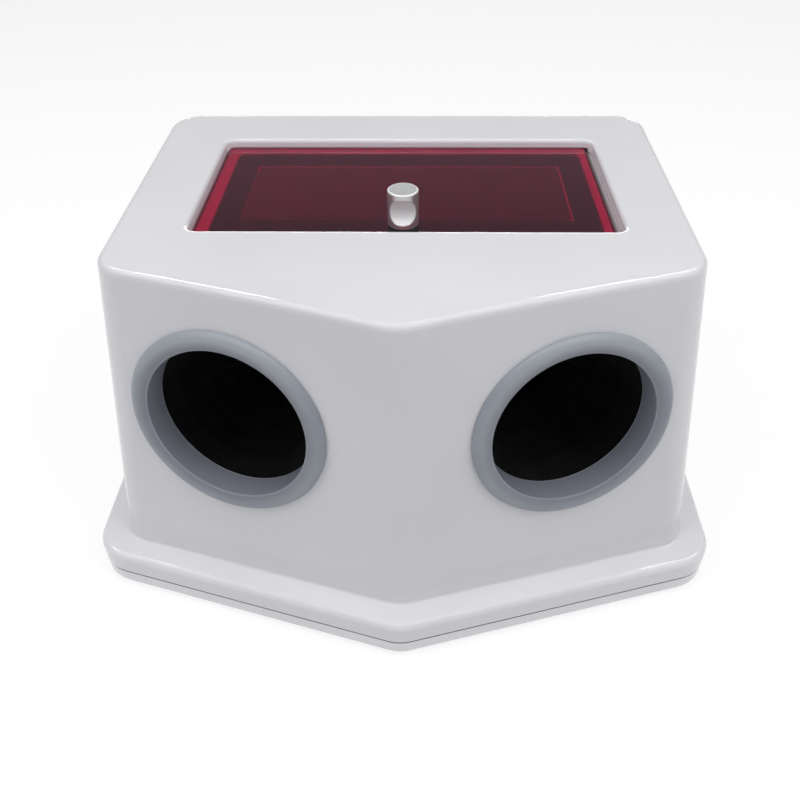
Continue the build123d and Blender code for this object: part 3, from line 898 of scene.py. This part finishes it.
@dataclass(frozen=True)
class BlackoutCloth(Finish):
    """Dense black cloth: crossed threads on the piece's own metres, a faint nap and clouds of wear."""

    title: str = "blackout_cloth"
    thread: float = 0.75 * MM
    dye: Colour = (0.005, 0.005, 0.0055, 1.0)
    worn: Colour = (0.009, 0.009, 0.010, 1.0)
    clouds: Pattern = Pattern(70.0, 4.0, cut=(0.35, 0.7))
    rough: Pair = (0.82, 0.92)
    thread_depth: float = 0.06 * MM

    def inputs(self, shade: Shade) -> Inputs:
        """Threads that stand proud and are rougher, and clouds of wear."""
        weave = shade.weave(self.thread, self.thread)
        return {
            "Base Color": shade.blend(self.clouds, self.dye, self.worn),
            "Roughness": weave.ranged(-1.0, 1.0, *self.rough),
            "Sheen Weight": 0.02,
            "Sheen Roughness": 0.5,
            "Specular IOR Level": 0.12,
            "Normal": shade.relief(weave, self.thread_depth),
        }


@dataclass(frozen=True)
class RibbedElastic(Finish):
    """Braided elastic: plaits across and ribs along the band on its own metres."""

    title: str = "ribbed_elastic"
    plait: float = 1.1 * MM
    rib: float = 0.8 * MM
    low: Colour = (0.012, 0.012, 0.013, 1.0)
    high: Colour = (0.030, 0.030, 0.032, 1.0)
    rough: Pattern = Pattern(300.0, 2.0, 0.70, 0.85)
    rib_depth: float = 0.08 * MM

    def inputs(self, shade: Shade) -> Inputs:
        """Paler threads that stand proud."""
        weave = shade.weave(self.plait, self.rib)
        return {
            "Base Color": shade.blend(weave.ranged(-1.0, 1.0), self.low, self.high),
            "Roughness": shade.cloud(self.rough),
            "Normal": shade.relief(weave, self.rib_depth),
        }


# Sub-assemblies


def settle(piece: Piece, finish: Finish, body: str, stands_for: tuple[str, ...] = ()) -> Piece:
    """Dresses a new piece and ties it to the frame.

    Args:
        piece: the new piece.
        finish: what it is made of.
        body: the body it moves with.
        stands_for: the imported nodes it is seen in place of.

    Returns:
        The same piece.
    """
    piece.data.materials.append(made(finish))
    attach(piece, body)
    if stands_for:
        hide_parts(*stands_for)
    LOG.info("%s: %d faces", piece.name, len(piece.data.polygons))
    return piece


def dress(finish: Finish, *nodes: str) -> None:
    """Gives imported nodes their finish.

    Args:
        finish: what they are made of.
        nodes: their names.
    """
    for node in nodes:
        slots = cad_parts[node].data.materials
        slots.clear()
        slots.append(made(finish))
        LOG.info("%s: dressed in %s", node, finish.title)


@dataclass(frozen=True)
class ShellAndBase:
    """The white housing, its base with gasket, screws and feet."""

    shell: Finish = GlossWhite(Moulding.HOUSING)
    # Painted light: the base's white is paler than the shell's, standing in for light from the floor.
    base: Finish = GlossWhite(Moulding.BASE, white=tone(248, 248, 250), grey=tone(243, 243, 246))

    def build(self) -> None:
        """Dresses every node of the shell and base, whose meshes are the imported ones."""
        dress(self.shell, "housing")
        dress(self.base, "base_plate")
        dress(GASKET_FOAM, "base_gasket")
        dress(FOOT_RUBBER, "rubber_feet")
        dress(ZINC_STEEL, "base_screws", "foot_screws")


@dataclass(frozen=True)
class HandPort:
    """One round port: bezel with its collar, clamp ring, screws, sleeve, hoop and cuff elastic.

    Pairs are radius and height over the shell's face.
    """

    hand: Hand
    place: PortPlace = PortPlace()
    bore: float = 46.0 * MM
    lip: float = 3.0 * MM
    crest: Pair = (51.5 * MM, 4.6 * MM)
    rim: Pair = (56.4 * MM, 1.6 * MM)
    collar: Pair = (49.0 * MM, -12.6 * MM)
    lip_ease: float = 0.5 * MM
    collar_ease: float = 0.3 * MM
    foot_ease: float = 0.15 * MM
    segments: int = 224
    arc_steps: tuple[int, int] = (20, 18)

    def name(self, part: str) -> str:
        """The name of this hand's part."""
        return f"{self.hand.name.lower()}_{part}"

    def turned(self, section: np.ndarray, angles: np.ndarray) -> np.ndarray:
        """Carries a section of (radius, height) round the port's axis.

        Args:
            section: rows by 2, or rows by angles by 2 where it changes on the way round.
            angles: the angle of each step, in radians.

        Returns:
            Rows by angles by 3: centre + radius * (across cos a + up sin a) + height * out.
        """
        centre, across, up, out = self.place.axes(self.hand)
        if section.ndim == 2:
            section = np.repeat(section[:, None, :], len(angles), axis=1)
        spoke = np.cos(angles)[:, None] * across + np.sin(angles)[:, None] * up
        return centre + section[..., :1] * spoke[None] + section[..., 1:] * out

    def bezel_section(self) -> np.ndarray:
        """The bezel's closed section: two arcs that meet level on the crest, then the lip and the collar.

        Returns:
            Points by 2. An arc that falls by h over a width w has the radius (w^2 + h^2) / 2h.
        """
        (crest_r, crest_h), (rim_r, rim_h), (collar_r, end) = self.crest, self.rim, self.collar
        outer_r = ((rim_r - crest_r) ** 2 + (crest_h - rim_h) ** 2) / (2 * (crest_h - rim_h))
        inner_r = ((crest_r - self.bore) ** 2 + (crest_h - self.lip) ** 2) / (2 * (crest_h - self.lip))
        outer_start = math.degrees(math.acos((rim_r - crest_r) / outer_r))
        inner_end = 90 + math.degrees(math.asin((crest_r - self.bore) / inner_r))
        outer = arc((crest_r, crest_h - outer_r), outer_r, outer_start, 90.0, self.arc_steps[0])
        inner = arc((crest_r, crest_h - inner_r), inner_r, 90.0, inner_end, self.arc_steps[1])[1:-1]
        top, bottom, back = (self.bore, self.lip), (self.bore, end), (collar_r, end)
        foot_in, foot_out = (collar_r, 0.0), (rim_r, 0.0)
        return np.concatenate([
            outer, inner,
            eased_corner(tuple(inner[-1]), top, bottom, self.lip_ease),
            eased_corner(top, bottom, back, self.lip_ease),
            eased_corner(bottom, back, foot_in, self.collar_ease),
            [foot_in],
            eased_corner(foot_in, foot_out, self.rim, self.foot_ease, 3),
        ])

    def build(self) -> None:
        """Builds and dresses everything at this port."""
        grid = self.turned(self.bezel_section(), around(self.segments))
        bezel = grid_piece(self.name("port_bezel"), grid, 50.0)
        settle(bezel, PortGrey(), "box", (self.name("port_ring"),))
        dress(RING_BLACK, self.name("clamp_ring"), self.name("sleeve_band"))
        dress(ZINC_STEEL, self.name("ring_screws"))
        Sleeve(self).build(CuffElastic(self).build())


@dataclass(frozen=True)
class Sleeve:
    """Light-tight cloth sleeve, tied on the collar, tapered and gathered into the cuff.

    Its middle surface is the radius eased through stations of (depth, radius), plus folds that are few
    and broad near the collar and many and fine at the cuff. A pair of a ramp is its start and length.
    """

    port: HandPort
    stations: tuple[Pair, ...] = (
        (7.6 * MM, 49.75 * MM), (15.0 * MM, 49.75 * MM), (28.0 * MM, 46.2 * MM), (42.0 * MM, 43.9 * MM),
        (58.0 * MM, 37.4 * MM), (71.0 * MM, 27.6 * MM), (84.8 * MM, 27.4 * MM),
    )
    ease: tuple[int, int] = (400, 33)
    loosens: Pair = (16 * MM, 24 * MM)
    tightens: Pair = (50 * MM, 18 * MM)
    ripples: Pair = (18 * MM, 12 * MM)
    stills: Pair = (-74 * MM, 14 * MM)
    ripple: Pair = (0.5 * MM, 11 * MM)
    broad_folds: int = 9
    broad_height: float = 1.25 * MM
    fine_folds: int = 24
    fine_height: float = 1.9 * MM
    drawn_in: float = 2.2 * MM
    thick: float = 0.7 * MM
    columns: int = 480
    rows: int = 96
    wide: float = 312 * MM
    narrow: float = 236 * MM
    long: float = 92 * MM

    def folds(self, angle: np.ndarray, depth: np.ndarray) -> np.ndarray:
        """Radial offset: a broad wave hands over to a fine one with depth, and both drift unevenly.

        Args:
            angle: radians round the port.
            depth: distance behind the shell's face.

        Returns:
            The offset at each depth and angle.
        """
        loose = ramp(depth, *self.loosens) ** 1.5
        tight = ramp(depth, *self.tightens)
        tight = tight * tight * (3 - 2 * tight)
        hand = self.port.hand.value
        drift = 0.35 * np.sin(2 * angle + 1.1 * hand) + 0.25 * np.sin(3 * angle - 0.6 * hand + 30 * depth)
        broad = np.sin(self.broad_folds * angle + 2.2 * drift + 18 * depth)
        broad = broad + 0.35 * np.sin(5 * angle - 1.3 * hand + 55 * depth)
        fine = np.sin(self.fine_folds * angle + 1.8 * drift) * (1 + 0.2 * np.sin(5 * angle + hand))
        return loose * ((1 - tight) * self.broad_height * broad + tight * (self.fine_height * fine - self.drawn_in))

    def radius(self, angle: np.ndarray, depth: np.ndarray) -> np.ndarray:
        """The eased stations, the folds, and a ripple where the sleeve is slack.

        Args:
            angle: as for folds.
            depth: as for folds.

        Returns:
            The radius at each depth and angle.
        """
        steps, window = self.ease
        fine = np.linspace(self.stations[0][0], self.stations[-1][0], steps)
        line = np.pad(np.interp(fine, *np.array(self.stations).T), window // 2, mode="edge")
        soft = np.hanning(window)
        eased = np.convolve(line, soft / soft.sum(), mode="valid")
        slack = ramp(depth, *self.ripples) * ramp(-depth, *self.stills)
        height, length = self.ripple
        wave = slack * height * np.sin(TURN * depth / length + 1.5 * np.sin(2 * angle))
        return np.interp(depth, fine, eased) + self.folds(angle, depth) + wave

    def build(self, cuff: Piece) -> Piece:
        """Builds the sleeve as a sheet with a thickness.

        Args:
            cuff: the elastic that goes with the sheet; not used.

        Returns:
            The sleeve.
        """
        angle = around(self.columns)[None, :]
        depth = np.linspace(self.stations[0][0], self.stations[-1][0], self.rows)[:, None]
        radius = self.radius(angle, depth)
        section = np.stack([radius, np.broadcast_to(-depth, radius.shape)], axis=-1)
        name = self.port.name
        piece = grid_piece(name("cloth_sleeve"), self.port.turned(section, angle[0]), 180.0, Ends.OPEN)
        lay_metres(piece, self.wide, self.long, self.rows, self.columns)
        skin = piece.modifiers.new("cloth_thickness", "SOLIDIFY")
        skin.thickness = self.thick
        skin.offset = 0.0
        settle(piece, BlackoutCloth(), "box", (name("sleeve"),))
        name("port_bezel")
        name("sleeve_band")
        return piece


@dataclass(frozen=True)
class CuffElastic:
    """Flat elastic round the cuff: a rounded oblong section, ribbed and drawn in between the gathers."""

    port: HandPort
    inner: float = 28.1 * MM
    outer: float = 29.6 * MM
    near: float = 79.0 * MM
    far: float = 84.0 * MM
    gathers: int = 24
    ribs: int = 6
    proud: float = 0.05 * MM
    power: float = 0.35
    clear: Pair = (0.86, 0.99)
    outside: float = 0.6
    steps: tuple[int, int] = (64, 288)

    def build(self) -> Piece:
        """Builds the band: a superellipse section whose outer side carries ribs and gathers.

        Returns:
            The band.
        """
        section_angles, angles = around(self.steps[0]), around(self.steps[1])
        cosine, sine = np.cos(section_angles), np.sin(section_angles)
        across = np.sign(cosine) * np.abs(cosine) ** self.power
        along = np.sign(sine) * np.abs(sine) ** self.power
        half_r, half_d = (self.outer - self.inner) / 2, (self.far - self.near) / 2
        radius = (self.outer + self.inner) / 2 + half_r * across * self.clear[0]
        depth = (self.far + self.near) / 2 + half_d * along * self.clear[1]
        rib = self.proud * np.cos(along * np.pi * self.ribs) * (across > self.outside)
        draw = self.proud * np.cos(self.gathers * angles)[None, :] * (across > self.outside)[:, None]
        section = np.stack([radius[:, None] + rib[:, None] + draw, np.repeat(-depth[:, None], len(angles), 1)], -1)
        piece = grid_piece(self.port.name("elastic"), self.port.turned(section, angles), 60.0)
        lay_metres(piece, TURN * self.outer, 2 * (self.far - self.near), len(across), len(angles))
        return settle(piece, RibbedElastic(), "box", (self.port.name("cuff_elastic"),))


@dataclass(frozen=True)
class LiftOffLid:
    """Red window plate, the second plate under it with the painted light on its edge, the knob, its washer and
    screw.
    """

    knob_axis: Pair = (0.7 * MM, -23.3 * MM)
    knob_foot: float = 209 * MM
    knob_radius: float = 8.3 * MM
    knob_height: float = 19.6 * MM
    knob_bevel: float = 0.55 * MM
    knob_steps: tuple[int, int] = (300, 170)
    foot_rings: tuple[float, float, int] = (0.3, 0.96, 6)
    top_rings: tuple[float, float, int] = (0.985, 0.1, 14)
    scoop_radius: float = 8.3 * MM
    scoop_depth: float = 4.2 * MM
    scoop_height: float = 9.4 * MM
    scoop_ease: float = 0.10 * MM
    scoop_side: float = 0.05
    second_centre: Pair = (2.1 * MM, 18.0 * MM)
    second_size: Pair = (185 * MM, 71 * MM)
    second_top: float = 206 * MM
    second_thick: float = 2.8 * MM
    second_corner: float = 1.0 * MM
    least_corner: float = 0.15 * MM
    edge_width: float = 1.3 * MM
    edge_thick: float = 0.05 * MM
    edge_steps: int = 160
    film: float = 0.06 * MM
    window_film: float = 0.048 * MM

    def knob(self) -> Piece:
        """The knob as a radius over angle and height: the soft minimum of the bevelled cylinder's and
        of the distance to the level cylinder that cuts its front.

        Returns:
            The knob.
        """
        angle = around(self.knob_steps[0])[None, :]
        height = np.linspace(0.0, self.knob_height, self.knob_steps[1])[:, None]
        body = self.knob_radius - np.clip(height - (self.knob_height - self.knob_bevel), 0.0, None)
        rise = np.clip(self.scoop_radius**2 - (height - self.scoop_height) ** 2, 0.0, None)
        cut = (self.knob_radius - self.scoop_depth) + self.scoop_radius - np.sqrt(rise)
        forward = np.cos(angle)
        reach = np.where(forward > self.scoop_side, cut / np.maximum(forward, self.scoop_side), 1.0)
        least = np.minimum(body, reach)
        blended = np.exp((least - body) / self.scoop_ease) + np.exp((least - reach) / self.scoop_ease)
        radius = least - self.scoop_ease * np.log(blended)
        floor = radius[:1] * np.linspace(*self.foot_rings)[:, None]
        roof = radius[-1:] * np.linspace(*self.top_rings)[:, None]
        radii = np.concatenate([floor, radius, roof])
        heights = np.pad(height, ((len(floor), len(roof)), (0, 0)), mode="edge")
        x = self.knob_axis[0] + radii * np.sin(angle)
        y = self.knob_axis[1] - radii * np.cos(angle)
        z = self.knob_foot + np.broadcast_to(heights, radii.shape)
        return grid_piece("thumb_knob", np.stack([x, y, z], axis=-1), 28.0, Ends.CAPPED)

    def painted_light_frame(self) -> Piece:
        """A thin frame on the second plate's rim, which carries the edge's painted light: a rounded oblong at two
        insets, high and low.

        Returns:
            The frame.
        """
        half_w, half_d = self.second_size[0] / 2, self.second_size[1] / 2
        turn = around(self.edge_steps)
        cos, sin = np.cos(turn), np.sin(turn)
        top = self.second_top - self.film
        grid = []
        for inset, drop in ((0.0, 0.0), (self.edge_width, 0.0), (self.edge_width, self.edge_thick),
                            (0.0, self.second_thick)):
            radius = max(self.second_corner - inset, self.least_corner)
            x = np.sign(cos) * (half_w - inset - radius) + radius * cos
            y = np.sign(sin) * (half_d - inset - radius) + radius * sin
            grid.append(np.stack([x, y, np.full_like(x, top - drop)], axis=-1))
        return grid_piece("second_plate_edge", np.array(grid) + (*self.second_centre, 0.0), 20.0)

    def build(self) -> None:
        """Builds and dresses the lid, with an air film between its clear plates."""
        window = merged_copy("lid_panel", "window_plate")
        squeeze_height(window, self.window_film, 0.0)
        settle(window, SAFELIGHT_RED, "lid", ("lid_panel",))
        second = merged_copy("lid_inner_panel", "second_plate")
        squeeze_height(second, 0.0, 2 * self.film)
        settle(second, MILKY_RED, "lid", ("lid_inner_panel",))
        # The frame's bright red is painted light.
        settle(self.painted_light_frame(), PAINTED_LIGHT_EDGE, "lid")
        settle(self.knob(), TurnedAluminium(self.knob_axis), "lid", ("lid_knob",))
        dress(ZINC_STEEL, "knob_washer", "knob_screw")


@dataclass(frozen=True)
class CupsInRack:
    """Three lift-out cups in their black rack."""

    def build(self) -> None:
        """Dresses the rack, its screws and the cups."""
        dress(RACK_BLACK, "cup_rack")
        dress(ZINC_STEEL, "rack_screws")
        dress(SMOKE_CUP, "developer_cup", "rinse_cup", "fixer_cup")


# Studio and camera


@dataclass(frozen=True)
class PhotoCamera:
    """Camera at the photo's viewing angle, its angles in degrees and its picture square."""

    place: Triple = (10.8 * MM, -434.2 * MM, 420.6 * MM)
    yaw: float = -1.81
    down: float = 39.31
    roll: float = -0.69
    focal_pixels: float = 828.7
    picture_pixels: float = 800.0
    sensor: float = 36.0
    clip: Pair = (0.01, 50.0)

    def build(self) -> None:
        """Makes the camera and hands it to the scene."""
        yaw, down, roll = (math.radians(angle) for angle in (self.yaw, self.down, self.roll))
        ahead = Vector((math.sin(yaw) * math.cos(down), math.cos(yaw) * math.cos(down), -math.sin(down)))
        level = Vector((math.cos(yaw), -math.sin(yaw), 0.0))
        up = level.cross(ahead)
        right = level * math.cos(roll) + up * math.sin(roll)
        top = up * math.cos(roll) - level * math.sin(roll)
        data = bpy.data.cameras.new("photo_camera")
        data.sensor_width = self.sensor
        data.lens = self.focal_pixels / self.picture_pixels * self.sensor
        data.clip_start, data.clip_end = self.clip
        camera = bpy.data.objects.new("photo_camera", data)
        turned = Matrix((right, top, -ahead)).transposed().to_4x4()
        camera.matrix_world = Matrix.Translation(Vector(self.place)) @ turned
        bpy.context.scene.collection.objects.link(camera)
        bpy.context.scene.camera = camera


@dataclass(frozen=True)
class StripLamp:
    """A soft rectangular lamp over the box, turned to a height on the Z axis.

    Mirrored lamps show in glossy surfaces only, and the others light matt surfaces only.
    """

    name: str
    place: Triple
    power: float
    deep: float
    wide: float = 2.6
    mirrored: bool = True
    aim: float = 0.1
    hue: Triple = (1.0, 1.0, 1.0)

    def build(self) -> None:
        """Makes the lamp, out of the camera's sight."""
        data = bpy.data.lights.new(self.name, "AREA")
        data.shape = "RECTANGLE"
        data.size, data.size_y = self.wide, self.deep
        data.energy = self.power
        data.color = self.hue
        lamp = bpy.data.objects.new(self.name, data)
        lamp.location = self.place
        lamp.rotation_euler = (Vector((0.0, 0.0, self.aim)) - Vector(self.place)).to_track_quat("-Z", "Y").to_euler()
        lamp.visible_glossy, lamp.visible_diffuse = self.mirrored, not self.mirrored
        lamp.visible_camera = False
        bpy.context.scene.collection.objects.link(lamp)


@dataclass(frozen=True)
class Studio:
    """Pale floor, soft lamps and a grey sky that is white to the camera and through clear plastic."""

    sky: float = 0.30
    seen_sky: float = 1.02
    sky_colour: Colour = (0.985, 0.99, 1.0, 1.0)
    floor_half: float = 6.0
    floor_height: float = -0.1 * MM
    floor_white: float = 0.71
    shadow_share: float = 0.30
    lift: float = 0.76
    lamps: tuple[StripLamp, ...] = (
        StripLamp("overhead_light", (0.0, 0.0, 1.45), 10.5, 1.2, 2.6, False, 0.0, (1.0, 1.0, 0.975)),
        StripLamp("left_panel", (-1.0, -0.60, 1.25), 5.8, 0.9, 0.9, False, 0.1, (0.975, 0.97, 1.04)),
        StripLamp("right_panel", (1.0, -0.60, 1.25), 6.2, 0.9, 0.9, False, 0.1, (0.975, 0.98, 1.04)),
        StripLamp("far_tube", (0.0, 0.56, 1.50), 15.0, 0.07),
        StripLamp("rear_tube", (0.0, 0.22, 1.55), 4.5, 0.08),
        StripLamp("front_tube", (0.0, -0.32, 1.45), 4.0, 0.08),
        StripLamp("near_tube", (0.0, -0.62, 1.40), 4.0, 0.08),
        StripLamp("low_rear_tube", (0.0, 3.2, 0.80), 38.0, 0.4, 2.3, aim=0.2),
    )

    def build(self) -> None:
        """Makes the floor, the sky and the lamps."""
        self.floor()
        self.world()
        for lamp in self.lamps:
            lamp.build()

    def floor(self) -> None:
        """A large floor: plain grey to the light, and nearly white with a soft shadow to the camera."""
        corners = np.array([[-1, -1], [1, -1], [1, 1], [-1, 1]]) * self.floor_half
        points = np.column_stack([corners, np.full(4, self.floor_height)])
        floor = new_piece("studio_floor", points, [[0, 1, 2, 3]], 30.0)
        material = bpy.data.materials.new("studio_paper")
        wiring = Wiring(material)
        plain, faint = (wiring.wire("BsdfDiffuse", {"Color": (share, share, share, 1.0)})
                        for share in (self.floor_white, self.shadow_share))
        lit = wiring.wire("AddShader", {0: faint, 1: wiring.wire("Emission", {"Strength": self.lift})})
        shown = wiring.ray("Camera", "Glossy", "Transmission")
        wiring.add("OutputMaterial", {"Surface": wiring.wire("MixShader", {0: shown, 1: plain, 2: lit})})
        floor.data.materials.append(material)

    def world(self) -> None:
        """The sky's strength: seen_sky to the camera and through clear plastic, sky to the rest."""
        world = bpy.data.worlds.new("studio_sky")
        bpy.context.scene.world = world
        wiring = Wiring(world)
        strength = wiring.ray("Camera", "Transmission").ranged(0.0, 1.0, self.sky, self.seen_sky)
        back = wiring.wire("Background", {"Color": self.sky_colour, "Strength": strength})
        wiring.add("OutputWorld", {"Surface": back})


def main() -> None:
    """Builds the whole part in order."""
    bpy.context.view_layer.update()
    logging.basicConfig(level=logging.INFO, format="%(name)s: %(message)s")
    PhotoCamera().build()
    Studio().build()
    ShellAndBase().build()
    for hand in Hand:
        HandPort(hand).build()
    LiftOffLid().build()
    CupsInRack().build()
    bpy.context.scene.view_settings.view_transform = "Standard"
    bpy.context.view_layer.update()


if __name__ == "__main__":
    main()
